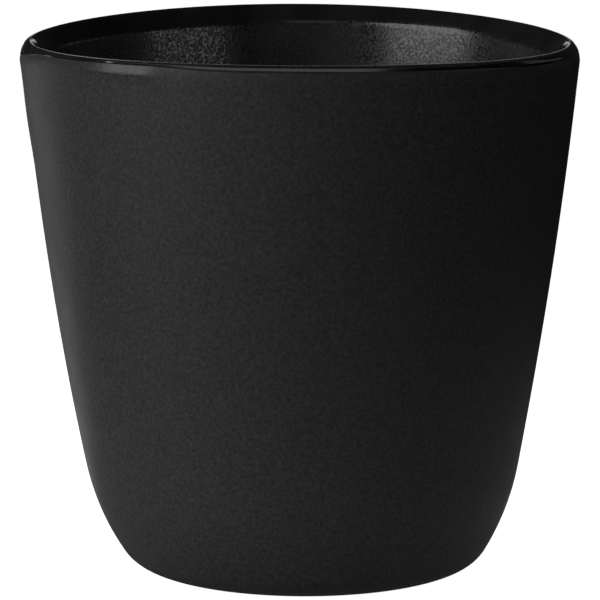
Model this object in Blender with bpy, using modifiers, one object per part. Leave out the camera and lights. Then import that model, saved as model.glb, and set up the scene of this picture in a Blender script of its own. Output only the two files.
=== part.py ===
"""Handleless stoneware mug, as the layers that a potter puts together.

A turned clay cup carries three separate coats of glaze: a gloss liner that covers the inside and
folds over the lip, a satin coat on the outside, and a small pool of satin glaze in the hollow of
the foot. The foot ring is bare clay, and the mug stands on it.

Every piece is a turned profile about +Z. The origin is the middle of the foot ring, on the table.
Profiles are lists of points in the (radius, height) plane. A surface is a list of stations, each a
point with the direction that leads from it into the clay, so any layer below it is the same list
moved along those directions.
"""

import math

import bpy

MM = 0.001

# Driving dimensions: the outside
MUG_HEIGHT = 85.5 * MM  # table to the crest of the lip
MOUTH_DIAMETER = 88.0 * MM  # where the outer wall starts, just under the lip
WALL_LEAN_TOP = math.radians(5.2)  # lean of the wall from upright, under the lip
WALL_LEAN_HIP = math.radians(11.0)  # and where it turns into the hip
HIP_RADIUS = 40.0 * MM  # soft turn from the wall towards the base
HIP_LEAN_END = math.radians(32.2)  # lean where the hip meets the tighter base corner
CORNER_RADIUS = 6.8 * MM

# Driving dimensions: the lip
LIP_OUTER_WIDTH = 1.8 * MM  # crest to outer wall, across
LIP_OUTER_DROP = 2.8 * MM  # crest to outer wall, down
LIP_INNER_DROP = 3.2 * MM  # crest to inner wall, down
LIP_WRAP = 0.9 * MM  # how far the gloss liner comes down outside the lip

# Driving dimensions: walls, floor and foot
WALL_THICKNESS = 4.0 * MM  # clay and both glazes
BASE_THICKNESS = 4.6 * MM  # inside floor to the hollow of the foot
FOOT_RING_HEIGHT = 0.6 * MM  # how far the ring stands below the glazed base
FOOT_RING_WIDTH = 3.5 * MM
FOOT_SETBACK = 2.0 * MM  # ring's outer edge in from the end of the base corner
FOOT_CHAMFER = 0.4 * MM
FOOT_WELL_DEPTH = 2.0 * MM  # hollow inside the ring, up from the table

# Driving dimensions: glaze
GLAZE_THICKNESS = 0.4 * MM
GLAZE_MENISCUS = 0.6 * MM  # how far the foot pool climbs the ring
BOND_GAP = 0.05 * MM  # clearance between a glaze and what it lies on or meets

# Facets
TURN_STEPS = 48
LIP_STEPS = 3
WALL_STEPS = 5
HIP_STEPS = 4
CORNER_STEPS = 4
FLOOR_STEPS = 6
MERGE_DISTANCE = 0.01 * MM

UPRIGHT_DOWN = (0.0, -1.0)
CLAY_DEPTH = GLAZE_THICKNESS + BOND_GAP


def lean_direction(lean):
    """Outward direction of a surface that leans in by this angle as it goes down."""
    return (math.cos(lean), -math.sin(lean))


def moved(point, direction, distance):
    return (point[0] + distance * direction[0], point[1] + distance * direction[1])


def arc(centre, radius, first_lean, last_lean, steps, into_clay):
    """Stations along an arc. into_clay is 1 where clay lies outside the arc and -1 where inside."""
    stations = []
    for i in range(steps + 1):
        outward = lean_direction(first_lean + (last_lean - first_lean) * i / steps)
        into = (into_clay * outward[0], into_clay * outward[1])
        stations.append((moved(centre, outward, radius), into))
    return stations


def lip_turn(crest, wall_point, wall_lean, side, first_angle, last_angle):
    """Stations of an elliptical corner from the crest to a wall, tangent to both ends.

    side is 1 for the outer corner and -1 for the inner one. Angles run from 0 at the crest to a
    right angle at the wall.
    """
    corner = (wall_point[0] + (crest[1] - wall_point[1]) * math.tan(wall_lean), crest[1])
    stations = []
    for i in range(LIP_STEPS + 1):
        angle = first_angle + (last_angle - first_angle) * i / LIP_STEPS
        across = 1.0 - math.sin(angle)
        down = 1.0 - math.cos(angle)
        point = tuple(
            corner[k] + (crest[k] - corner[k]) * across + (wall_point[k] - corner[k]) * down
            for k in range(2)
        )
        run = tuple(
            (corner[k] - crest[k]) * math.cos(angle) + (wall_point[k] - corner[k]) * math.sin(angle)
            for k in range(2)
        )
        length = math.hypot(*run)
        stations.append((point, (side * run[1] / length, -side * run[0] / length)))
    return stations


def sunk(stations, depth):
    """The points of a surface, moved this far into the clay."""
    return [moved(point, into, depth) for point, into in stations]


class MugSurfaces:
    """The mug's glazed surfaces, worked out once from the driving dimensions."""

    def __init__(self):
        self.mouth_radius = MOUTH_DIAMETER / 2
        self.crest = (self.mouth_radius - LIP_OUTER_WIDTH, MUG_HEIGHT)
        self.floor_height = FOOT_WELL_DEPTH + BASE_THICKNESS
        self.wall_top = (self.mouth_radius, MUG_HEIGHT - LIP_OUTER_DROP)
        self.set_wall_arcs()
        self.set_outer_stretches()
        self.set_inner_surface()

    def set_wall_arcs(self):
        """Centres and radii of the tangent arcs: wall, then hip, then base corner."""
        corner_drop = CORNER_RADIUS * (1.0 - math.sin(HIP_LEAN_END))
        hip_drop = HIP_RADIUS * (math.sin(HIP_LEAN_END) - math.sin(WALL_LEAN_HIP))
        wall_drop = self.wall_top[1] - FOOT_RING_HEIGHT - hip_drop - corner_drop
        self.wall_radius = wall_drop / (math.sin(WALL_LEAN_HIP) - math.sin(WALL_LEAN_TOP))
        self.wall_centre = moved(self.wall_top, lean_direction(WALL_LEAN_TOP), -self.wall_radius)
        radius_change = self.wall_radius - HIP_RADIUS
        self.hip_centre = moved(self.wall_centre, lean_direction(WALL_LEAN_HIP), radius_change)
        radius_change = HIP_RADIUS - CORNER_RADIUS
        self.corner_centre = moved(self.hip_centre, lean_direction(HIP_LEAN_END), radius_change)
        self.ring_radius = self.corner_centre[0] - FOOT_SETBACK
        self.well_radius = self.ring_radius - FOOT_RING_WIDTH

    def set_outer_stretches(self):
        """The lip above and below the glaze seam, and the outer wall down to the base corner's end."""
        seam = math.acos(1.0 - LIP_WRAP / LIP_OUTER_DROP)
        lip = (self.crest, self.wall_top, WALL_LEAN_TOP, 1)
        self.lip_over = lip_turn(*lip, 0.0, seam)
        self.lip_under = lip_turn(*lip, seam, math.pi / 2)
        self.lip_under_glaze = lip_turn(*lip, seam + BOND_GAP / LIP_OUTER_DROP, math.pi / 2)
        wall = (self.wall_centre, self.wall_radius, WALL_LEAN_TOP, WALL_LEAN_HIP, WALL_STEPS)
        hip = (self.hip_centre, HIP_RADIUS, WALL_LEAN_HIP, HIP_LEAN_END, HIP_STEPS)
        corner = (self.corner_centre, CORNER_RADIUS, HIP_LEAN_END, math.pi / 2, CORNER_STEPS)
        self.outer_wall = arc(*wall, -1)[1:] + arc(*hip, -1)[1:] + arc(*corner, -1)[1:]

    def set_inner_surface(self):
        """From the middle of the floor, up the inner wall and round to the crest of the lip."""
        inner_radius = self.wall_radius - WALL_THICKNESS
        lip_foot = MUG_HEIGHT - LIP_INNER_DROP
        top_lean = math.asin((self.wall_centre[1] - lip_foot) / inner_radius)
        wall = arc(self.wall_centre, inner_radius, top_lean, WALL_LEAN_HIP, WALL_STEPS, 1)
        wall_end = wall[-1][0]
        floor_radius = (wall_end[1] - self.floor_height) / (1.0 - math.sin(WALL_LEAN_HIP))
        floor_centre = moved(wall_end, lean_direction(WALL_LEAN_HIP), -floor_radius)
        floor = arc(floor_centre, floor_radius, WALL_LEAN_HIP, math.pi / 2, FLOOR_STEPS, 1)
        lip = lip_turn(self.crest, wall[0][0], top_lean, -1, 0.0, math.pi / 2)
        crest_to_floor = lip + wall[1:] + floor[1:] + [((0.0, self.floor_height), UPRIGHT_DOWN)]
        self.inner = crest_to_floor[::-1]


def clay_profile(surfaces):
    """Inside floor, inner wall, lip, outer wall, then the foot ring and its hollow."""
    outside = surfaces.lip_over[1:] + surfaces.lip_under[1:] + surfaces.outer_wall
    ring, well = surfaces.ring_radius, surfaces.well_radius
    foot = [
        (ring, FOOT_RING_HEIGHT + CLAY_DEPTH),
        (ring, FOOT_CHAMFER),
        (ring - FOOT_CHAMFER, 0.0),
        (well + FOOT_CHAMFER, 0.0),
        (well, FOOT_CHAMFER),
        (well, FOOT_WELL_DEPTH),
        (0.0, FOOT_WELL_DEPTH),
    ]
    return sunk(surfaces.inner, CLAY_DEPTH) + sunk(outside, CLAY_DEPTH) + foot


def liner_profile(surfaces):
    """Gloss coat from the middle of the floor, over the lip to the seam, and back along the clay."""
    coat = surfaces.inner + surfaces.lip_over[1:]
    return sunk(coat, 0.0) + sunk(coat[::-1], GLAZE_THICKNESS)


def outer_glaze_profile(surfaces):
    """Satin coat from the seam down to the foot ring, and back along the clay."""
    ring_edge = (surfaces.ring_radius + BOND_GAP, FOOT_RING_HEIGHT)
    under_base = (ring_edge, (0.0, 1.0))
    coat = surfaces.lip_under_glaze + surfaces.outer_wall + [under_base]
    return sunk(coat, 0.0) + sunk(coat[::-1], GLAZE_THICKNESS)


def foot_pool_profile(surfaces):
    """Thin pool on the roof of the foot's hollow, climbing a little way down the ring."""
    roof = FOOT_WELL_DEPTH - BOND_GAP
    face = roof - GLAZE_THICKNESS
    edge = surfaces.well_radius - BOND_GAP
    return [
        (0.0, roof),
        (edge, roof),
        (edge, face - GLAZE_MENISCUS),
        (edge - GLAZE_THICKNESS / 2, face - GLAZE_MENISCUS),
        (edge - GLAZE_THICKNESS, face - GLAZE_MENISCUS / 2),
        (edge - GLAZE_THICKNESS - GLAZE_MENISCUS, face),
        (0.0, face),
    ]


def make_material(name, colour, roughness, coat):
    material = bpy.data.materials.new(name)
    material.use_nodes = True
    shader = material.node_tree.nodes["Principled BSDF"]
    shader.inputs["Base Color"].default_value = (*colour, 1.0)
    shader.inputs["Roughness"].default_value = roughness
    shader.inputs["Metallic"].default_value = 0.0
    shader.inputs["Coat Weight"].default_value = coat
    return material


def turned_piece(name, profile, closed, material, collection, parent):
    """A profile turned once round +Z. A closed profile makes a ring, an open one ends on the axis."""
    edges = [(i, i + 1) for i in range(len(profile) - 1)]
    if closed:
        edges.append((len(profile) - 1, 0))
    mesh = bpy.data.meshes.new(name)
    mesh.from_pydata([(radius, 0.0, height) for radius, height in profile], edges, [])
    mesh.materials.append(material)
    piece = bpy.data.objects.new(name, mesh)
    piece.parent = parent
    collection.objects.link(piece)
    turn = piece.modifiers.new("turn", "SCREW")
    turn.axis = "Z"
    turn.angle = 2 * math.pi
    turn.steps = turn.render_steps = TURN_STEPS
    turn.use_merge_vertices = True
    turn.merge_threshold = MERGE_DISTANCE
    turn.use_smooth_shade = True
    return piece


def main():
    for old in list(bpy.data.objects):
        bpy.data.objects.remove(old, do_unlink=True)
    collection = bpy.data.collections.new("stoneware_mug")
    bpy.context.scene.collection.children.link(collection)
    mug = bpy.data.objects.new("mug_origin", None)
    collection.objects.link(mug)

    surfaces = MugSurfaces()
    clay = make_material("bare_stoneware", (0.058, 0.050, 0.044), 0.85, 0.0)
    gloss = make_material("gloss_black_glaze", (0.006, 0.006, 0.006), 0.12, 0.4)
    satin = make_material("satin_black_glaze", (0.012, 0.012, 0.012), 0.48, 0.0)
    home = (collection, mug)
    turned_piece("clay_body", clay_profile(surfaces), False, clay, *home)
    turned_piece("liner_glaze", liner_profile(surfaces), False, gloss, *home)
    turned_piece("outer_glaze", outer_glaze_profile(surfaces), True, satin, *home)
    turned_piece("foot_well_glaze", foot_pool_profile(surfaces), False, satin, *home)


main()
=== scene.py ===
"""The looks of a handleless stoneware mug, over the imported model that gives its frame.

Each layer of the mug is turned on a lathe from a drawn profile: the clay, the gloss liner, the
satin coat and the pool of glaze in the foot. The liner runs into the satin coat a little at the front
left, and the whole mug is eased out of true, as a thrown pot is. Sizes are in metres, in the frame of
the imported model. Angles round the mug are counted from the front, to the right.
"""

import math
from typing import NamedTuple

import bmesh
import bpy
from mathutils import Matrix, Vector
from mathutils.geometry import interpolate_bezier


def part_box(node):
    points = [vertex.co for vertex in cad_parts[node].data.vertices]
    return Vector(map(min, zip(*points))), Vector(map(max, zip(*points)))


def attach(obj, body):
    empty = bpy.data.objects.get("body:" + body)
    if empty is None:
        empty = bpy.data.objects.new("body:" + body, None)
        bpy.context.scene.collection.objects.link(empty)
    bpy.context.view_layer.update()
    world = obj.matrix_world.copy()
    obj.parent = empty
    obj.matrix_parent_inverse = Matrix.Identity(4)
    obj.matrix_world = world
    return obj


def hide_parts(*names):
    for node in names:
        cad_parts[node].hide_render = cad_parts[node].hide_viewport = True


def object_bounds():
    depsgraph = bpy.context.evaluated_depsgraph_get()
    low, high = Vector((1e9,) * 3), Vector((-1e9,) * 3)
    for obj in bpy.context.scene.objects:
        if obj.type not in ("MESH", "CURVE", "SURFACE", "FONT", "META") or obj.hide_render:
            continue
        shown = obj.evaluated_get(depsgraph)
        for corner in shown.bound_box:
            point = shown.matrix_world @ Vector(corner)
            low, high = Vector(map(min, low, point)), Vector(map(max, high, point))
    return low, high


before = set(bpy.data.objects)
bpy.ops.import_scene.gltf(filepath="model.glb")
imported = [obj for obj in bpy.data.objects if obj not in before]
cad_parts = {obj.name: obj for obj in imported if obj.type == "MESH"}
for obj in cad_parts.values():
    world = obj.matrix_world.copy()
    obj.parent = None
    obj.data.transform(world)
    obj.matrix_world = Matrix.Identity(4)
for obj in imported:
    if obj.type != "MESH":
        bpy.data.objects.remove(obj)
CAD_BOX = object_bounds()

bl_info = {
    "name": "Stoneware mug",
    "version": (1, 0, 0),
    "blender": (4, 5, 0),
    "location": "3D View > Sidebar > Mug",
    "description": "Turns the layers of a glazed stoneware mug and sets its studio",
    "category": "Object",
}

MM = 0.001
BODY = "root"
RIGHT_ANGLE = math.pi / 2
FULL_TURN = 2 * math.pi
LATHE_AXIS = (0.0, 0.0, 1.0)
PROFILE_AXIS = (0.0, 1.0, 0.0)
CIRCLE_HANDLE = 0.5523  # length of a curve's handles, as a share of the corner that they round

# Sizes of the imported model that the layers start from
MUG_HEIGHT = CAD_BOX[1].z
MOUTH_RADIUS = CAD_BOX[1].x
GLAZE_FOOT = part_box("outer_glaze")[0].z
GLAZE = 0.4 * MM
BOND = 0.05 * MM
FLOOR_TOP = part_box("liner_glaze")[0].z + GLAZE
POOL_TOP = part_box("foot_well_glaze")[1].z
POOL_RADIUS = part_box("foot_well_glaze")[1].x

# Facets of the turned pieces
LIP_STEPS = 14
WALL_STEPS = 30
HIP_STEPS = 12
CORNER_STEPS = 14
FLOOR_STEPS = 16
FOOT_STEPS = 4
MERGE_DISTANCE = 0.001 * MM

# Points that see the front of a piece
IN_THE_MOUTH = Vector((0.0, 0.0, MUG_HEIGHT))
OUTSIDE = Vector((1.0, 0.0, MUG_HEIGHT / 2))
BELOW = Vector((0.0, 0.0, -1.0))

# How the pot is out of true
RIM_START = 0.6  # share of the height above which the rim's waves grow
DRIFT_FADE = 5  # how fast the foot's drift dies out up the wall
SWELL = (0.75, 0.87)  # shares of the height between which the left of the rim swells out
ROLL = (math.radians(36), math.radians(80))  # angles to either side between which the bead melts
SEAM_FADE = 6 * MM  # depth below the seam where its wave has died out
RUN_FADE = 4  # how many times its depth below the seam the swell of the liner's run has died out
# Angles between which the liner's run into the satin coat starts and ends
RUN_START = (math.radians(-66), math.radians(-46))
RUN_END = (math.radians(-33), math.radians(-28))
# How far the seam hangs below its mean line, in millimetres, by degrees round the mug
SEAM_WAVE = {-90: 1.2, -62: -0.3, -35: -0.5, -12: 0.0, 30: 0.2, 90: 0.5, 180: 0.2, 270: 1.2}

SATIN = "satin_black_stoneware_glaze"
GLOSS = "gloss_black_stoneware_glaze"
CLAY = "bare_fired_stoneware"
GLAZE_IOR = 1.5
DROP = "drop"  # depth below the crest, kept on the liner's points
RUN = "run"  # how much of the liner's glaze has run into the satin coat, kept on its points
DIP, PEAK = 0.3, 0.7  # middle range of a noise pattern, which seldom reaches 0 or 1
MIDDLE = {"From Min": DIP, "From Max": PEAK}
EVEN, MIXED, CLOUDY = 1.0, 2.0, 3.0  # layers of ever finer spots in a noise pattern
SENSOR = 36.0  # camera's sensor width, in its own millimetres
CLIP_START = 0.01

# Stage
WHITE = "#ffffff"
PAPER = "#f2f2f2"
PAPER_ROUGHNESS = 0.9
CLOTH = "#0a0a0a"
FLOOR_REACH = 6.0
FLOOR_GLOW = 0.92  # how much of the floor's white it gives off itself, to the eye and in a shine
# The dark mat goes nearly all round, and leaves a wedge of white floor at the back left
MAT_START = 0.0225
MAT_REACH = 2.4
MAT_HEIGHT = 0.0002
MAT_FROM = math.radians(-125)
MAT_TO = math.radians(219)
# The mat's glow is painted floor light, which the glaze mirrors and is lit by: dim next to the mug as a
# painted contact shadow, brighter a little further out as lit floor, and none beyond
MAT_PAINTED_LIGHT = {0.026: 0.09, 0.045: 0.22, 0.08: 0.24, 0.16: 0.0}  # by distance from the mug's axis
TENT_RADIUS = 2.5
TENT_STEPS = 24
TENT_GLOW = 0.014
STAGE_STEPS = 96


class Softbox(NamedTuple):
    """One flat lamp, by where it stands from the mug, its size and how bright it is."""

    azimuth: float
    elevation: float
    distance: float
    width: float
    height: float
    level: float  # brightness of its face, 1 for white


SOFTBOXES = {
    "key": Softbox(math.radians(-65), math.radians(20), 1.0, 0.8, 1.0, 3.5),
    "side": Softbox(math.radians(55), math.radians(9.5), 1.0, 0.7, 0.1, 2.0),
    "right": Softbox(math.radians(107), math.radians(9.5), 1.0, 1.3, 0.12, 0.2),
    "fill": Softbox(math.radians(-4), math.radians(9.5), 1.0, 0.9, 0.12, 0.26),
    "strip": Softbox(math.radians(-8), math.radians(-6.5), 0.5, 1.3, 0.035, 1.3),
    "top": Softbox(math.radians(-6), math.radians(38), 1.0, 0.35, 0.35, 0.5),
    "backdrop": Softbox(math.radians(180), math.radians(4), 2.0, 0.45, 0.14, 0.6),
}


class MugShape(bpy.types.PropertyGroup):
    """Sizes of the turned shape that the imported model's boxes do not give."""

    top_lean: bpy.props.FloatProperty(
        name="Lean under the lip",
        description="How far the wall leans from upright where it leaves the lip",
        subtype="ANGLE",
        default=math.radians(5.2),
    )
    hip_lean: bpy.props.FloatProperty(
        name="Lean at the hip",
        description="How far the wall leans from upright where it turns into the hip",
        subtype="ANGLE",
        default=math.radians(11.0),
    )
    corner_lean: bpy.props.FloatProperty(
        name="Lean at the base corner",
        description="How far the hip leans from upright where it meets the base corner",
        subtype="ANGLE",
        default=math.radians(32.2),
    )
    hip_radius: bpy.props.FloatProperty(
        name="Hip radius",
        description="Radius of the soft turn from the wall towards the base",
        unit="LENGTH",
        default=40.0 * MM,
    )
    corner_radius: bpy.props.FloatProperty(
        name="Base corner radius",
        description="Radius of the tighter turn at the base",
        unit="LENGTH",
        default=6.0 * MM,
    )
    lip_width: bpy.props.FloatProperty(
        name="Outer lip width",
        description="From the crest of the lip out to the wall",
        unit="LENGTH",
        default=1.6 * MM,
    )
    lip_drop: bpy.props.FloatProperty(
        name="Outer lip drop",
        description="From the crest of the lip down to the outer wall",
        unit="LENGTH",
        default=2.8 * MM,
    )
    inner_drop: bpy.props.FloatProperty(
        name="Inner lip drop",
        description="From the crest of the lip down to the inner wall",
        unit="LENGTH",
        default=3.2 * MM,
    )
    inner_bevel: bpy.props.FloatProperty(
        name="Inner lip slope",
        description="Lean of the lip from upright where it leaves the inner wall",
        subtype="ANGLE",
        default=math.radians(32),
    )
    inner_edge: bpy.props.FloatProperty(
        name="Inner lip edge",
        description="Rounding of the edge between the inner wall and the lip",
        unit="LENGTH",
        default=0.45 * MM,
    )
    wrap: bpy.props.FloatProperty(
        name="Liner wrap",
        description="How far the gloss liner comes down outside the lip",
        unit="LENGTH",
        default=0.92 * MM,
    )
    wall: bpy.props.FloatProperty(
        name="Wall thickness",
        description="Clay and both glazes together",
        unit="LENGTH",
        default=4.0 * MM,
    )
    glaze: bpy.props.FloatProperty(
        name="Glaze thickness",
        description="Thickness of each coat of glaze",
        unit="LENGTH",
        default=GLAZE,
    )
    bond: bpy.props.FloatProperty(
        name="Bond line",
        description="Gap that keeps the clay clear of the glaze on it",
        unit="LENGTH",
        default=BOND,
    )
    bead_reach: bpy.props.FloatProperty(
        name="Bead reach",
        description="From the crest of the lip out to the side of the liner's rolled edge",
        unit="LENGTH",
        default=1.9 * MM,
    )
    bead_round: bpy.props.FloatProperty(
        name="Bead rounding",
        description="From the crest of the lip down to the upright side of the rolled edge",
        unit="LENGTH",
        default=0.2 * MM,
    )
    groove: bpy.props.FloatProperty(
        name="Groove",
        description="Depth of the crease where the rolled edge meets the satin coat",
        unit="LENGTH",
        default=0.28 * MM,
    )
    crisp: bpy.props.FloatProperty(
        name="Crispness",
        description="Width of the sharp edge above the crease",
        unit="LENGTH",
        default=0.03 * MM,
    )
    run_depth: bpy.props.FloatProperty(
        name="Run depth",
        description="How far below the seam the liner's glaze has run into the satin coat, at most",
        unit="LENGTH",
        default=3.0 * MM,
    )
    run_swell: bpy.props.FloatProperty(
        name="Run swell",
        description="How much thicker the satin coat is where the liner's glaze has run into it",
        unit="LENGTH",
        default=0.2 * MM,
    )
    meniscus: bpy.props.FloatProperty(
        name="Meniscus",
        description="How far the foot pool climbs down the ring",
        unit="LENGTH",
        default=0.6 * MM,
    )
    shoulder: bpy.props.FloatProperty(
        name="Shoulder",
        description="How much of the way up to the seam the satin wall runs before it rounds over",
        default=0.75,
    )
    foot_width: bpy.props.FloatProperty(
        name="Foot ring width",
        description="Width of the bare ring that the mug stands on",
        unit="LENGTH",
        default=3.5 * MM,
    )
    foot_round: bpy.props.FloatProperty(
        name="Foot ring edge",
        description="Radius of the ring's sponged edges",
        unit="LENGTH",
        default=0.4 * MM,
    )
    foot_drift: bpy.props.FloatProperty(
        name="Foot drift",
        description="How far the foot was turned off centre, to the right",
        unit="LENGTH",
        default=0.7 * MM,
    )
    rim_sink: bpy.props.FloatProperty(
        name="Rim sink",
        description="How far the rim sank all round in firing",
        unit="LENGTH",
        default=0.15 * MM,
    )
    rim_saddle: bpy.props.FloatProperty(
        name="Rim saddle",
        description="How far the rim rises at front and back and falls at the sides",
        unit="LENGTH",
        default=0.54 * MM,
    )
    rim_tilt: bpy.props.FloatProperty(
        name="Rim tilt",
        description="How far the rim rises at the left and falls at the right",
        unit="LENGTH",
        default=0.21 * MM,
    )
    rim_swell: bpy.props.FloatProperty(
        name="Rim swell",
        description="How far the left of the rim stands out of the round",
        unit="LENGTH",
        default=0.3 * MM,
    )
    turn_steps: bpy.props.IntProperty(
        name="Steps round",
        description="Faces round the mug",
        default=256,
    )


class MugFinish(bpy.types.PropertyGroup):
    """Colours and surface grain of the glazes and the bare clay."""

    satin_dark: bpy.props.StringProperty(
        name="Satin, dark",
        description="Outer glaze where it is darkest, as an sRGB hex value",
        default="#282828",
    )
    satin_light: bpy.props.StringProperty(
        name="Satin, light",
        description="Outer glaze where it is lightest, as an sRGB hex value",
        default="#3d3d3d",
    )
    satin_smooth: bpy.props.FloatProperty(
        name="Satin, smooth",
        description="Roughness of the outer glaze where it is smoothest",
        default=0.46,
    )
    satin_rough: bpy.props.FloatProperty(
        name="Satin, rough",
        description="Roughness of the outer glaze where it is roughest",
        default=0.54,
    )
    satin_sheen: bpy.props.FloatProperty(
        name="Satin sheen",
        description="How much of the light the outer glaze mirrors, 0.5 for a plain glass surface",
        default=0.25,
    )
    satin_relief: bpy.props.FloatProperty(
        name="Satin relief",
        description="Height of the fine grain in the outer glaze",
        unit="LENGTH",
        default=0.02 * MM,
    )
    satin_grain: bpy.props.FloatProperty(
        name="Satin grain",
        description="Width of the fine grain in the outer glaze",
        unit="LENGTH",
        default=0.5 * MM,
    )
    satin_cloud: bpy.props.FloatProperty(
        name="Satin clouding",
        description="Width of the patches where the outer glaze lies thicker or thinner",
        unit="LENGTH",
        default=9.0 * MM,
    )
    run_rough: bpy.props.FloatProperty(
        name="Run roughness",
        description="Roughness of the outer glaze where the liner's glaze has run into it",
        default=0.26,
    )
    gloss_dark: bpy.props.StringProperty(
        name="Gloss, dark",
        description="Liner glaze where it is darkest, as an sRGB hex value",
        default="#161616",
    )
    gloss_light: bpy.props.StringProperty(
        name="Gloss, light",
        description="Liner glaze where it is lightest, as an sRGB hex value",
        default="#222222",
    )
    gloss_sheen: bpy.props.FloatProperty(
        name="Gloss sheen",
        description="How strongly the gloss glaze mirrors, 0.5 for clear glass",
        default=0.43,
    )
    gloss_smooth: bpy.props.FloatProperty(
        name="Gloss, smooth",
        description="Roughness of the liner glaze where it is smoothest",
        default=0.07,
    )
    gloss_rough: bpy.props.FloatProperty(
        name="Gloss, rough",
        description="Roughness of the liner glaze where it is roughest",
        default=0.5,
    )
    gloss_cloud: bpy.props.FloatProperty(
        name="Gloss clouding",
        description="Width of the patches where the liner glaze lies thicker or thinner",
        unit="LENGTH",
        default=7.0 * MM,
    )
    peel: bpy.props.FloatProperty(
        name="Orange peel",
        description="Width of the dimples in the liner glaze",
        unit="LENGTH",
        default=0.43 * MM,
    )
    peel_fade: bpy.props.FloatProperty(
        name="Orange peel fade",
        description="How far up the lip the dimples fade out",
        unit="LENGTH",
        default=1.6 * MM,
    )
    peel_relief: bpy.props.FloatProperty(
        name="Orange peel relief",
        description="Depth of the dimples in the liner glaze",
        unit="LENGTH",
        default=0.03 * MM,
    )
    clay_dark: bpy.props.StringProperty(
        name="Clay, dark",
        description="Bare clay between the grains of grog, as an sRGB hex value",
        default="#3b3733",
    )
    clay_light: bpy.props.StringProperty(
        name="Clay, light",
        description="Grains of grog in the bare clay, as an sRGB hex value",
        default="#5a534b",
    )
    clay_rough: bpy.props.FloatProperty(
        name="Clay roughness",
        description="Roughness of the bare clay",
        default=0.9,
    )
    clay_sand: bpy.props.FloatProperty(
        name="Clay sand",
        description="Width of the sandy grain of the bare clay",
        unit="LENGTH",
        default=0.25 * MM,
    )
    clay_grog: bpy.props.FloatProperty(
        name="Clay grog",
        description="Width of the specks of grog in the bare clay",
        unit="LENGTH",
        default=0.6 * MM,
    )
    clay_relief: bpy.props.FloatProperty(
        name="Clay relief",
        description="Height of the sandy grain of the bare clay",
        unit="LENGTH",
        default=0.05 * MM,
    )


class MugStudio(bpy.types.PropertyGroup):
    """Camera and room."""

    room_light: bpy.props.FloatProperty(
        name="Room light",
        description="Strength of the room as a source of light",
        default=0.1,
    )
    camera_distance: bpy.props.FloatProperty(
        name="Camera distance",
        description="From the camera to the middle of the mug",
        unit="LENGTH",
        default=0.7,
    )
    camera_elevation: bpy.props.FloatProperty(
        name="Camera elevation",
        description="How far above the middle of the mug the camera looks from",
        subtype="ANGLE",
        default=math.radians(10.07),
    )
    lens: bpy.props.FloatProperty(
        name="Lens",
        description="Focal length in millimetres on a 36 mm sensor",
        default=263.2,
    )
    shift: bpy.props.FloatProperty(
        name="Shift",
        description="Sideways shift of the frame, as a share of its width",
        default=-0.0015,
    )


def linear(hex_colour):
    """An sRGB hex value as a linear colour with full alpha."""
    channels = [int(hex_colour[i : i + 2], 16) / 255 for i in (1, 3, 5)]
    return [c / 12.92 if c <= 0.04045 else ((c + 0.055) / 1.055) ** 2.4 for c in channels] + [1.0]


def set_inputs(tree, node, inputs):
    """Gives each input a value, or a link from another node's socket."""
    for socket, value in inputs.items():
        if isinstance(value, bpy.types.NodeSocket):
            tree.links.new(value, node.inputs[socket])
        else:
            node.inputs[socket].default_value = value


def add_node(tree, kind, inputs=None, **settings):
    """Adds a node with its settings and inputs."""
    node = tree.nodes.new(kind)
    for name, value in settings.items():
        setattr(node, name, value)
    set_inputs(tree, node, inputs or {})
    return node


def set_stops(ramp, stops):
    """Gives a colour ramp its colours, by their places along it."""
    while len(ramp.elements) < len(stops):
        ramp.elements.new(1.0)
    for element, (position, colour) in zip(ramp.elements, stops.items()):
        element.position = position
        element.color = colour


def link_mesh(name, mesh):
    """Makes a finished bmesh an object of the scene."""
    data = bpy.data.meshes.new(name)
    mesh.to_mesh(data)
    mesh.free()
    piece = bpy.data.objects.new(name, data)
    bpy.context.scene.collection.objects.link(piece)
    return piece


def direction(azimuth, elevation):
    """Away from the mug, at an angle round it and an angle above the table."""
    level = math.cos(elevation)
    return Vector((level * math.sin(azimuth), -level * math.cos(azimuth), math.sin(elevation)))


def outward(lean):
    """Direction out of a wall that leans in by this angle as it goes down."""
    return Vector((math.cos(lean), 0.0, -math.sin(lean)))


class Lathe:
    """Draws a profile stretch by stretch, then turns it about the mug's axis."""

    def __init__(self, radius, height):
        self.mesh = bmesh.new()
        self.end = self.mesh.verts.new((radius, 0.0, height))

    def line(self, *points):
        for point in points:
            vert = self.mesh.verts.new(point)
            self.mesh.edges.new((self.end, vert))
            self.end = vert

    def arc(self, centre, sweep, steps):
        swept = bmesh.ops.spin(
            self.mesh, geom=[self.end], cent=centre, axis=PROFILE_AXIS, angle=sweep, steps=steps
        )
        self.end = swept["geom_last"][0]

    def turn(self, name, steps, seen_from):
        """The turned piece, merged at its seam and poles, with its faces towards a point that sees it."""
        bmesh.ops.spin(
            self.mesh,
            geom=self.mesh.verts[:] + self.mesh.edges[:],
            cent=(0.0, 0.0, 0.0),
            axis=LATHE_AXIS,
            angle=FULL_TURN,
            steps=steps,
            use_merge=True,
        )
        bmesh.ops.remove_doubles(self.mesh, verts=self.mesh.verts, dist=MERGE_DISTANCE)
        bmesh.ops.recalc_face_normals(self.mesh, faces=self.mesh.faces)
        nearest = min(
            self.mesh.faces, key=lambda face: (face.calc_center_median() - seen_from).length
        )
        if nearest.normal.dot(seen_from - nearest.calc_center_median()) < 0:
            bmesh.ops.reverse_faces(self.mesh, faces=self.mesh.faces)
        for face in self.mesh.faces:
            face.smooth = True
        return link_mesh(name, self.mesh)


def rounded(first, knee, last):
    """Points that round a corner from first to last, tangent to the lines that meet at its knee."""
    handles = (first.lerp(knee, CIRCLE_HANDLE), last.lerp(knee, CIRCLE_HANDLE))
    return interpolate_bezier(first, *handles, last, LIP_STEPS + 1)


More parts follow.
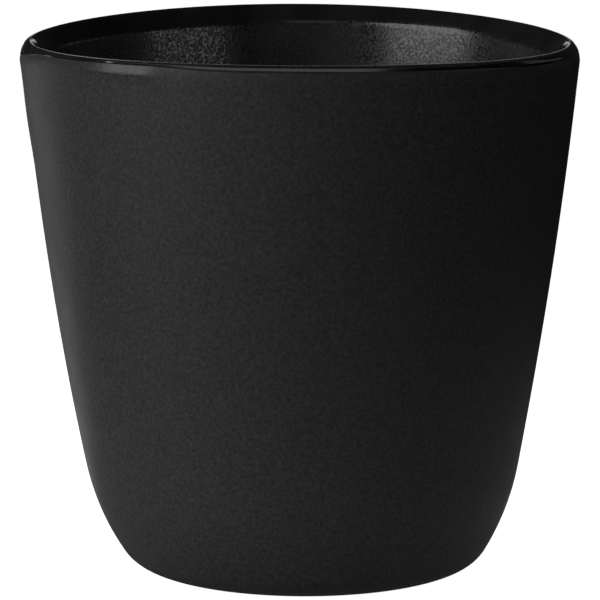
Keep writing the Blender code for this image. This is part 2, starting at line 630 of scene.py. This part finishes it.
class WallArcs:
    """Where the mug's tangent arcs, its straight inside and its lip lie, at a depth below the glaze."""

    def __init__(self, shape, depth=0.0):
        self.depth = depth
        self.top_lean = shape.top_lean
        self.hip_lean = shape.hip_lean
        self.corner_lean = shape.corner_lean
        top = Vector((MOUTH_RADIUS, 0.0, MUG_HEIGHT - shape.lip_drop))
        corner_drop = shape.corner_radius * (1 - math.sin(shape.corner_lean))
        hip_drop = shape.hip_radius * (math.sin(shape.corner_lean) - math.sin(shape.hip_lean))
        wall_drop = top.z - GLAZE_FOOT - hip_drop - corner_drop
        radius = wall_drop / (math.sin(shape.hip_lean) - math.sin(shape.top_lean))
        self.wall = top - radius * outward(shape.top_lean)
        self.hip = self.wall + (radius - shape.hip_radius) * outward(shape.hip_lean)
        step_in = shape.hip_radius - shape.corner_radius
        self.corner = self.hip + step_in * outward(shape.corner_lean)
        self.crest = Vector((MOUTH_RADIUS - shape.lip_width, 0.0, MUG_HEIGHT - depth))
        self.outer_top = top - depth * outward(shape.top_lean)

        inner_radius = radius - shape.wall
        lip_foot = MUG_HEIGHT - shape.inner_drop
        lip_foot_lean = math.asin((self.wall.z - lip_foot) / inner_radius)
        cone_top = self.wall + inner_radius * outward(lip_foot_lean)
        cone_end = self.wall + inner_radius * outward(shape.hip_lean)
        self.cone_lean = math.atan2(cone_top.x - cone_end.x, cone_top.z - cone_end.z)
        self.inner_top = cone_top + depth * outward(self.cone_lean)
        self.inner_bevel = shape.inner_bevel
        self.inner_edge = shape.inner_edge
        floor_radius = (cone_end.z - FLOOR_TOP) / (1 - math.sin(self.cone_lean))
        self.floor = cone_end - floor_radius * outward(self.cone_lean)

    def lip(self, wall_point, lean):
        """Points that round the lip from a wall to its crest, level at the crest."""
        rise = self.crest.z - wall_point.z
        knee = wall_point + rise * Vector((math.tan(lean), 0.0, 1.0))
        return rounded(wall_point, knee, self.crest)

    def draw_inside(self, lathe):
        """From the middle of the floor up to the crest."""
        lathe.line((self.floor.x, 0.0, FLOOR_TOP - self.depth))
        lathe.arc(self.floor, self.cone_lean - RIGHT_ANGLE, FLOOR_STEPS)
        cone_end = lathe.end.co.copy()
        for i in range(1, WALL_STEPS + 1):
            lathe.line(cone_end.lerp(self.inner_top, i / WALL_STEPS))
        up_wall = Vector((math.sin(self.cone_lean), 0.0, math.cos(self.cone_lean)))
        up_lip = Vector((math.sin(self.inner_bevel), 0.0, math.cos(self.inner_bevel)))
        edge = self.inner_top + self.inner_edge * up_wall
        lip_start = edge + self.inner_edge * up_lip
        lathe.line(*rounded(self.inner_top, edge, lip_start)[1:])
        lathe.line(*self.lip(lip_start, self.inner_bevel)[1:])

    def outer_lip(self):
        """From the crest down to the outer wall."""
        return self.lip(self.outer_top, self.top_lean)[::-1]

    def draw_outside(self, lathe):
        """From the top of the outer wall down to the end of the base corner."""
        lathe.arc(self.wall, self.hip_lean - self.top_lean, WALL_STEPS)
        lathe.arc(self.hip, self.corner_lean - self.hip_lean, HIP_STEPS)
        lathe.arc(self.corner, RIGHT_ANGLE - self.corner_lean, CORNER_STEPS)


def settings():
    """The mug's sizes, its finish and its studio."""
    scene = bpy.context.scene
    return scene.mug_shape, scene.mug_finish, scene.mug_studio


def ease(value, first, last):
    """From 0 to 1, smoothly, as a value goes from first to last."""
    share = min(1.0, max(0.0, (value - first) / (last - first)))
    return share * share * (3 - 2 * share)


def seam_wave(azimuth):
    """How far the seam hangs below its mean line."""
    degrees = math.degrees(azimuth)
    if degrees < min(SEAM_WAVE):
        degrees += math.degrees(FULL_TURN)
    angles = list(SEAM_WAVE)
    last = next(i for i in range(1, len(angles)) if degrees <= angles[i])
    share = ease(degrees, angles[last - 1], angles[last])
    before, after = SEAM_WAVE[angles[last - 1]], SEAM_WAVE[angles[last]]
    return (before + (after - before) * share) * MM


def ease_out_of_true(piece, shape, depth=0.0):
    """Moves a piece as a thrown and dipped pot comes out.

    The rim waves and swells at the left, the foot is turned a little off centre, the liner's rolled
    edge melts into a round lip at the sides and back, and its seam runs unevenly.
    """
    crest = MOUTH_RADIUS - shape.lip_width
    for vert in piece.data.vertices:
        x, y, z = vert.co
        azimuth = math.atan2(x, -y)
        radius = math.hypot(x, y)
        share = z / MUG_HEIGHT
        drop = MUG_HEIGHT - depth - z
        if radius > crest:
            near_seam = min(drop / shape.wrap, ease(shape.wrap + SEAM_FADE - drop, 0.0, SEAM_FADE))
            drop += seam_wave(azimuth) * near_seam
            vert.co.z = MUG_HEIGHT - depth - drop
        if radius > crest and drop < shape.lip_drop:
            height = 1 - drop / shape.lip_drop
            melted = crest + (shape.lip_width - depth) * math.sqrt(1 - height * height)
            scale = 1 + ease(abs(azimuth), *ROLL) * (melted / radius - 1)
            vert.co.x, vert.co.y = x * scale, y * scale
        near_rim = max(0.0, (share - RIM_START) / (1 - RIM_START)) ** 2
        rim = shape.rim_saddle * math.cos(2 * azimuth) - shape.rim_tilt * x / MOUTH_RADIUS
        vert.co.x += shape.foot_drift * (1 - share) ** DRIFT_FADE
        vert.co.x += shape.rim_swell * ease(share, *SWELL) * min(0.0, x / MOUTH_RADIUS)
        vert.co.z += near_rim * (rim - shape.rim_sink)


def keep_on_points(piece, name, values):
    """Keeps a value for each point of a piece, which its material reads."""
    piece.data.attributes.new(name, "FLOAT", "POINT").data.foreach_set("value", values)


def let_liner_run(piece, shape):
    """Lets the liner's glaze run into the satin coat below the seam, which is thicker and shines there."""
    runs = []
    for vert in piece.data.vertices:
        x, y, z = vert.co
        azimuth = math.atan2(x, -y)
        below = MUG_HEIGHT - shape.wrap - z
        along = ease(azimuth, *RUN_START) * (1 - ease(azimuth, *RUN_END))
        depth = shape.run_depth * (1 + ease(azimuth, RUN_START[0], RUN_END[0])) / 2
        thickest = depth / 2
        swell = along * ease(below, 0.0, thickest) * (1 - ease(below, thickest, RUN_FADE * depth))
        scale = 1 + swell * shape.run_swell / math.hypot(x, y)
        vert.co.x, vert.co.y = x * scale, y * scale
        runs.append(along * (1 - ease(below, thickest, depth)))
    keep_on_points(piece, RUN, runs)


def ring_radius(shape):
    """From the mug's axis to the outside of its bare foot ring."""
    return POOL_RADIUS + shape.bond + shape.foot_width


def place(piece, node, material):
    """Puts a finished piece in the frame, in its material, for the node that it stands for."""
    piece.data.materials.append(material)
    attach(piece, BODY)
    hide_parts(node)


def thicken(piece, thickness):
    """Gives a coat its thickness, behind the surface that shows."""
    solid = piece.modifiers.new("coat", "SOLIDIFY")
    solid.thickness = thickness
    solid.offset = -1.0
    solid.use_even_offset = True


def new_material(name):
    """A material with its node tree and its shader."""
    material = bpy.data.materials.new(name)
    material.use_nodes = True
    tree = material.node_tree
    return material, tree, tree.nodes["Principled BSDF"]


def satin_glaze(finish):
    """Matt stoneware glaze, fired: fine crystals scatter the light into a soft, faintly grainy sheen.

    It is smoother where the liner's glaze has run into it, and shines there. The crystals are drawn
    coarser than real ones, so that they show.
    """
    material, tree, shader = new_material(SATIN)
    where = add_node(tree, "ShaderNodeTexCoord").outputs["Object"]
    grain = {"Vector": where, "Scale": 1 / finish.satin_grain, "Detail": MIXED}
    crystals = add_node(tree, "ShaderNodeTexNoise", grain).outputs["Fac"]
    patches = {"Vector": where, "Scale": 1 / finish.satin_cloud, "Detail": CLOUDY}
    clouds = add_node(tree, "ShaderNodeTexNoise", patches).outputs["Fac"]
    shades = add_node(tree, "ShaderNodeValToRGB", {"Fac": crystals})
    set_stops(shades.color_ramp, {DIP: linear(finish.satin_dark), PEAK: linear(finish.satin_light)})
    dull = {"Value": clouds, "To Min": finish.satin_smooth, "To Max": finish.satin_rough, **MIDDLE}
    matt = add_node(tree, "ShaderNodeMapRange", dull).outputs["Result"]
    run = add_node(tree, "ShaderNodeAttribute", attribute_name=RUN).outputs["Fac"]
    melted = {"Value": run, "To Min": matt, "To Max": finish.run_rough}
    relief = {"Height": crystals, "Strength": 1.0, "Distance": finish.satin_relief}
    inputs = {
        "Base Color": shades.outputs["Color"],
        "Roughness": add_node(tree, "ShaderNodeMapRange", melted).outputs["Result"],
        "IOR": GLAZE_IOR,
        "Specular IOR Level": finish.satin_sheen,
        "Normal": add_node(tree, "ShaderNodeBump", relief).outputs["Normal"],
    }
    set_inputs(tree, shader, inputs)
    return material


def gloss_glaze(finish, shape):
    """Gloss stoneware glaze, poured and fired: near black, with the dimples called orange peel.

    The glaze runs off the lip, so it is smooth there.
    """
    material, tree, shader = new_material(GLOSS)
    where = add_node(tree, "ShaderNodeTexCoord").outputs["Object"]
    pits = {"Vector": where, "Scale": 1 / finish.peel, "Detail": EVEN}
    dimples = add_node(tree, "ShaderNodeTexNoise", pits).outputs["Fac"]
    patches = {"Vector": where, "Scale": 1 / finish.gloss_cloud, "Detail": MIXED}
    clouds = add_node(tree, "ShaderNodeTexNoise", patches).outputs["Fac"]
    shades = add_node(tree, "ShaderNodeValToRGB", {"Fac": clouds})
    set_stops(shades.color_ramp, {DIP: linear(finish.gloss_dark), PEAK: linear(finish.gloss_light)})
    drop = add_node(tree, "ShaderNodeAttribute", attribute_name=DROP).outputs["Fac"]
    fade = {"From Min": shape.inner_drop - finish.peel_fade, "From Max": shape.inner_drop}
    below_lip = add_node(tree, "ShaderNodeMapRange", {"Value": drop, **fade}).outputs["Result"]
    peel = add_node(tree, "ShaderNodeMath", {0: dimples, 1: below_lip}, operation="MULTIPLY").outputs[0]
    dull = {"Value": dimples, "To Max": finish.gloss_rough - finish.gloss_smooth, **MIDDLE}
    added = add_node(tree, "ShaderNodeMapRange", dull).outputs["Result"]
    rough = {0: added, 1: below_lip, 2: finish.gloss_smooth}
    relief = {"Height": peel, "Strength": 1.0, "Distance": finish.peel_relief}
    inputs = {
        "Base Color": shades.outputs["Color"],
        "Roughness": add_node(tree, "ShaderNodeMath", rough, operation="MULTIPLY_ADD").outputs[0],
        "IOR": GLAZE_IOR,
        "Specular IOR Level": finish.gloss_sheen,
        "Normal": add_node(tree, "ShaderNodeBump", relief).outputs["Normal"],
    }
    set_inputs(tree, shader, inputs)
    return material


def bare_clay(finish):
    """Fired stoneware clay, turned and sponged: dry, dark and sandy, with specks of grog."""
    material, tree, shader = new_material(CLAY)
    where = add_node(tree, "ShaderNodeTexCoord").outputs["Object"]
    grains = {"Vector": where, "Scale": 1 / finish.clay_sand, "Detail": MIXED}
    sand = add_node(tree, "ShaderNodeTexNoise", grains).outputs["Fac"]
    specks = {"Vector": where, "Scale": 1 / finish.clay_grog, "Detail": EVEN}
    grog = add_node(tree, "ShaderNodeTexNoise", specks).outputs["Fac"]
    shades = add_node(tree, "ShaderNodeValToRGB", {"Fac": grog})
    set_stops(shades.color_ramp, {DIP: linear(finish.clay_dark), PEAK: linear(finish.clay_light)})
    relief = {"Height": sand, "Strength": 1.0, "Distance": finish.clay_relief}
    inputs = {
        "Base Color": shades.outputs["Color"],
        "Roughness": finish.clay_rough,
        "Normal": add_node(tree, "ShaderNodeBump", relief).outputs["Normal"],
    }
    set_inputs(tree, shader, inputs)
    return material


class MUG_OT_clay(bpy.types.Operator):
    """Turn the clay cup with its bare foot ring"""

    bl_idname = "mug.clay"
    bl_label = "Clay cup"

    def execute(self, context):
        shape, finish, _ = settings()
        arcs = WallArcs(shape, shape.glaze + shape.bond)
        ring = ring_radius(shape)
        well = POOL_RADIUS + shape.bond
        lathe = Lathe(0.0, FLOOR_TOP - arcs.depth)
        arcs.draw_inside(lathe)
        lathe.line(*arcs.outer_lip()[1:])
        arcs.draw_outside(lathe)
        edge = shape.foot_round
        lathe.line((ring, 0.0, lathe.end.co.z), (ring, 0.0, edge))
        lathe.arc((ring - edge, 0.0, edge), RIGHT_ANGLE, FOOT_STEPS)
        lathe.line((well + edge, 0.0, 0.0))
        lathe.arc((well + edge, 0.0, edge), RIGHT_ANGLE, FOOT_STEPS)
        roof = POOL_TOP + shape.bond
        lathe.line((well, 0.0, roof), (0.0, 0.0, roof))
        piece = lathe.turn("clay_cup", shape.turn_steps, BELOW)
        ease_out_of_true(piece, shape, arcs.depth)
        place(piece, "clay_body", bare_clay(finish))
        return {"FINISHED"}


class MUG_OT_liner(bpy.types.Operator):
    """Turn the gloss liner, from the floor up the inside and over the lip"""

    bl_idname = "mug.liner"
    bl_label = "Gloss liner"

    def execute(self, context):
        shape, finish, _ = settings()
        arcs = WallArcs(shape)
        lathe = Lathe(0.0, FLOOR_TOP)
        arcs.draw_inside(lathe)
        side = arcs.crest + Vector((shape.bead_reach, 0.0, -shape.bead_round))
        knee = Vector((side.x, 0.0, MUG_HEIGHT))
        lathe.line(*rounded(arcs.crest, knee, side)[1:])
        seam = Vector((side.x, 0.0, MUG_HEIGHT - shape.wrap))
        up = Vector((0.0, 0.0, 1.0))
        brow = seam + shape.groove * up
        end = seam - Vector((shape.groove, 0.0, 0.0))
        lathe.line(side - shape.crisp * up, brow + shape.crisp * up, brow)
        lathe.line(end.lerp(brow, shape.crisp / shape.groove), end)
        piece = lathe.turn("gloss_liner", shape.turn_steps, IN_THE_MOUTH)
        thicken(piece, shape.glaze)
        keep_on_points(piece, DROP, [MUG_HEIGHT - vert.co.z for vert in piece.data.vertices])
        ease_out_of_true(piece, shape)
        place(piece, "liner_glaze", gloss_glaze(finish, shape))
        return {"FINISHED"}


class MUG_OT_outer(bpy.types.Operator):
    """Turn the satin coat, from the edge of the liner down to the foot ring"""

    bl_idname = "mug.outer"
    bl_label = "Satin coat"

    def execute(self, context):
        shape, finish, _ = settings()
        arcs = WallArcs(shape)
        seam = arcs.crest + Vector((shape.bead_reach - shape.groove, 0.0, -shape.wrap))
        rise = shape.shoulder * (seam.z - arcs.outer_top.z)
        knee = arcs.outer_top + rise * Vector((math.tan(shape.top_lean), 0.0, 1.0))
        lathe = Lathe(seam.x, seam.z)
        lathe.line(seam + shape.crisp * (knee - seam).normalized())
        lathe.line(*rounded(seam, knee, arcs.outer_top)[1:])
        arcs.draw_outside(lathe)
        lathe.line((ring_radius(shape) + shape.bond, 0.0, GLAZE_FOOT))
        piece = lathe.turn("satin_coat", shape.turn_steps, OUTSIDE)
        thicken(piece, shape.glaze)
        let_liner_run(piece, shape)
        ease_out_of_true(piece, shape)
        place(piece, "outer_glaze", satin_glaze(finish))
        return {"FINISHED"}


class MUG_OT_foot_pool(bpy.types.Operator):
    """Turn the pool of glaze in the hollow of the foot, with the fillet that climbs down the ring"""

    bl_idname = "mug.foot_pool"
    bl_label = "Foot pool"

    def execute(self, context):
        shape, _, _ = settings()
        face = POOL_TOP - shape.glaze
        edge = POOL_RADIUS - shape.glaze / 2
        fillet = Vector((edge - shape.meniscus, 0.0, face - shape.meniscus))
        lathe = Lathe(0.0, face)
        lathe.line((fillet.x, 0.0, face))
        lathe.arc(fillet, RIGHT_ANGLE, FOOT_STEPS)
        lathe.line((POOL_RADIUS, 0.0, fillet.z), (POOL_RADIUS, 0.0, POOL_TOP), (0.0, 0.0, POOL_TOP))
        piece = lathe.turn("foot_pool", shape.turn_steps, BELOW)
        ease_out_of_true(piece, shape)
        place(piece, "foot_well_glaze", bpy.data.materials[SATIN])
        return {"FINISHED"}


class MUG_OT_stage(bpy.types.Operator):
    """Set the white floor, the dark mat and tent, the lamps and the camera"""

    bl_idname = "mug.stage"
    bl_label = "Stage"

    def execute(self, context):
        _, _, studio = settings()
        scene = context.scene
        scene.view_settings.view_transform = "Standard"
        self.set_camera(scene, studio)
        self.set_world(scene, studio)
        floor = self.flat_ring("floor", 0.0, FLOOR_REACH, 0.0, -math.pi, math.pi)
        floor.data.materials.append(self.white_floor())
        mat = self.flat_ring("dark_mat", MAT_START, MAT_REACH, MAT_HEIGHT, MAT_FROM, MAT_TO)
        mat.data.materials.append(self.mat_cloth_with_painted_light())
        mat.visible_camera = False
        mat.visible_shadow = False
        tent = self.tent()
        tent.data.materials.append(self.dark_cloth("dark_tent_cloth", TENT_GLOW))
        tent.visible_camera = False
        for name, box in SOFTBOXES.items():
            self.softbox(name, box, scene)
        return {"FINISHED"}

    def set_camera(self, scene, studio):
        """A long lens, on the middle of the mug."""
        middle = Vector((0.0, 0.0, (MUG_HEIGHT + GLAZE_FOOT) / 2))
        data = bpy.data.cameras.new("camera")
        data.lens = studio.lens
        data.sensor_width = SENSOR
        data.shift_x = studio.shift
        data.clip_start = CLIP_START
        camera = bpy.data.objects.new("camera", data)
        back = direction(0.0, studio.camera_elevation)
        camera.location = middle + studio.camera_distance * back
        camera.rotation_euler = back.to_track_quat("Z", "Y").to_euler()
        scene.collection.objects.link(camera)
        scene.camera = camera

    def set_world(self, scene, studio):
        """A white room to the eye and in what shines, and dim as a source of light."""
        world = bpy.data.worlds.new("studio")
        world.use_nodes = True
        tree = world.node_tree
        seen = self.seen_as_background(tree)
        level = add_node(tree, "ShaderNodeMapRange", {"Value": seen, "To Min": studio.room_light})
        inputs = {"Color": linear(WHITE), "Strength": level.outputs["Result"]}
        set_inputs(tree, tree.nodes["Background"], inputs)
        scene.world = world

    def seen_as_background(self, tree):
        """1 for rays that see the room: from the camera, in a shine, or through glass."""
        path = add_node(tree, "ShaderNodeLightPath")
        seen = path.outputs["Is Camera Ray"]
        for ray in ("Is Glossy Ray", "Is Transmission Ray"):
            either = {0: seen, 1: path.outputs[ray]}
            seen = add_node(tree, "ShaderNodeMath", either, operation="MAXIMUM").outputs[0]
        return seen

    def white_floor(self):
        """White paper sweep: plain, and as white as the room behind it."""
        material, tree, shader = new_material("white_paper_sweep")
        set_inputs(tree, shader, {"Base Color": linear(PAPER), "Roughness": PAPER_ROUGHNESS})
        seen = {"Value": self.seen_as_background(tree), "To Max": FLOOR_GLOW}
        share = add_node(tree, "ShaderNodeMapRange", seen).outputs["Result"]
        glow = add_node(tree, "ShaderNodeEmission", {"Strength": share})
        both = add_node(tree, "ShaderNodeAddShader", {0: shader.outputs[0], 1: glow.outputs[0]})
        set_inputs(tree, tree.nodes["Material Output"], {"Surface": both.outputs[0]})
        return material

    def dark_cloth(self, name, glow):
        """Dark cloth: keeps the glaze dark where it faces it, with a faint glow against pure black."""
        material, tree, shader = new_material(name)
        inputs = {
            "Base Color": linear(CLOTH),
            "Roughness": 1.0,
            "Specular IOR Level": 0.0,
            "Emission Color": linear(WHITE),
            "Emission Strength": glow,
        }
        set_inputs(tree, shader, inputs)
        return material

    def mat_cloth_with_painted_light(self):
        """Dark cloth with painted floor light: its glow by distance from the mug is a painted contact
        shadow close in and painted lit floor further out.
        """
        material = self.dark_cloth("dark_mat_cloth", 1.0)
        tree = material.node_tree
        where = add_node(tree, "ShaderNodeTexCoord").outputs["Object"]
        away = add_node(tree, "ShaderNodeVectorMath", {0: where}, operation="LENGTH").outputs["Value"]
        reach = max(MAT_PAINTED_LIGHT)
        share = add_node(tree, "ShaderNodeMapRange", {"Value": away, "From Max": reach})
        # painted contact shadow and painted floor light, by distance from the mug
        ramp = add_node(tree, "ShaderNodeValToRGB", {"Fac": share.outputs["Result"]})
        glows = {radius / reach: (glow, glow, glow, 1.0) for radius, glow in MAT_PAINTED_LIGHT.items()}
        set_stops(ramp.color_ramp, glows)
        set_inputs(tree, tree.nodes["Principled BSDF"], {"Emission Color": ramp.outputs["Color"]})
        return material

    def flat_ring(self, name, inner, outer, height, first, last):
        """A flat sheet from one radius to another, swept between two angles round the mug."""
        mesh = bmesh.new()
        start = direction(first, 0.0)
        ends = [mesh.verts.new(start * r + Vector((0.0, 0.0, height))) for r in (inner, outer)]
        edge = mesh.edges.new(ends)
        bmesh.ops.spin(
            mesh,
            geom=ends + [edge],
            cent=(0.0, 0.0, 0.0),
            axis=LATHE_AXIS,
            angle=last - first,
            steps=STAGE_STEPS,
            use_merge=last - first == FULL_TURN,
        )
        bmesh.ops.remove_doubles(mesh, verts=mesh.verts, dist=MERGE_DISTANCE)
        return link_mesh(name, mesh)

    def tent(self):
        """A dome over the stage, for the glaze to mirror."""
        mesh = bmesh.new()
        first = mesh.verts.new((0.0, 0.0, TENT_RADIUS))
        bmesh.ops.spin(
            mesh,
            geom=[first],
            cent=(0.0, 0.0, 0.0),
            axis=PROFILE_AXIS,
            angle=RIGHT_ANGLE,
            steps=TENT_STEPS,
        )
        bmesh.ops.spin(
            mesh,
            geom=mesh.verts[:] + mesh.edges[:],
            cent=(0.0, 0.0, 0.0),
            axis=LATHE_AXIS,
            angle=FULL_TURN,
            steps=STAGE_STEPS,
            use_merge=True,
        )
        bmesh.ops.remove_doubles(mesh, verts=mesh.verts, dist=MERGE_DISTANCE)
        return link_mesh("tent", mesh)

    def softbox(self, name, box, scene):
        """A flat lamp that faces the mug."""
        data = bpy.data.lights.new(name, "AREA")
        data.shape = "RECTANGLE"
        data.size = box.width
        data.size_y = box.height
        data.energy = box.level * math.pi * box.width * box.height
        lamp = bpy.data.objects.new(name, data)
        away = direction(box.azimuth, box.elevation)
        lamp.location = away * box.distance + Vector((0.0, 0.0, MUG_HEIGHT))
        lamp.rotation_euler = away.to_track_quat("Z", "Y").to_euler()
        lamp.visible_camera = False
        scene.collection.objects.link(lamp)


class MUG_PT_layers(bpy.types.Panel):
    """Builds the mug layer by layer, with its sizes, finish and studio"""

    bl_label = "Stoneware mug"
    bl_idname = "MUG_PT_layers"
    bl_space_type = "VIEW_3D"
    bl_region_type = "UI"
    bl_category = "Mug"

    def draw(self, context):
        column = self.layout.column()
        for operator in OPERATORS:
            column.operator(operator.bl_idname)
        for group in settings():
            box = self.layout.box().column()
            for name in group.__annotations__:
                box.prop(group, name)


OPERATORS = (MUG_OT_clay, MUG_OT_liner, MUG_OT_outer, MUG_OT_foot_pool, MUG_OT_stage)
CLASSES = (MugShape, MugFinish, MugStudio, *OPERATORS, MUG_PT_layers)


def register():
    for cls in CLASSES:
        bpy.utils.register_class(cls)
    bpy.types.Scene.mug_shape = bpy.props.PointerProperty(type=MugShape)
    bpy.types.Scene.mug_finish = bpy.props.PointerProperty(type=MugFinish)
    bpy.types.Scene.mug_studio = bpy.props.PointerProperty(type=MugStudio)


def unregister():
    del bpy.types.Scene.mug_studio
    del bpy.types.Scene.mug_finish
    del bpy.types.Scene.mug_shape
    for cls in reversed(CLASSES):
        bpy.utils.unregister_class(cls)


def main():
    register()
    bpy.ops.mug.clay()
    bpy.ops.mug.liner()
    bpy.ops.mug.outer()
    bpy.ops.mug.foot_pool()
    bpy.ops.mug.stage()


if __name__ == "__main__":
    main()
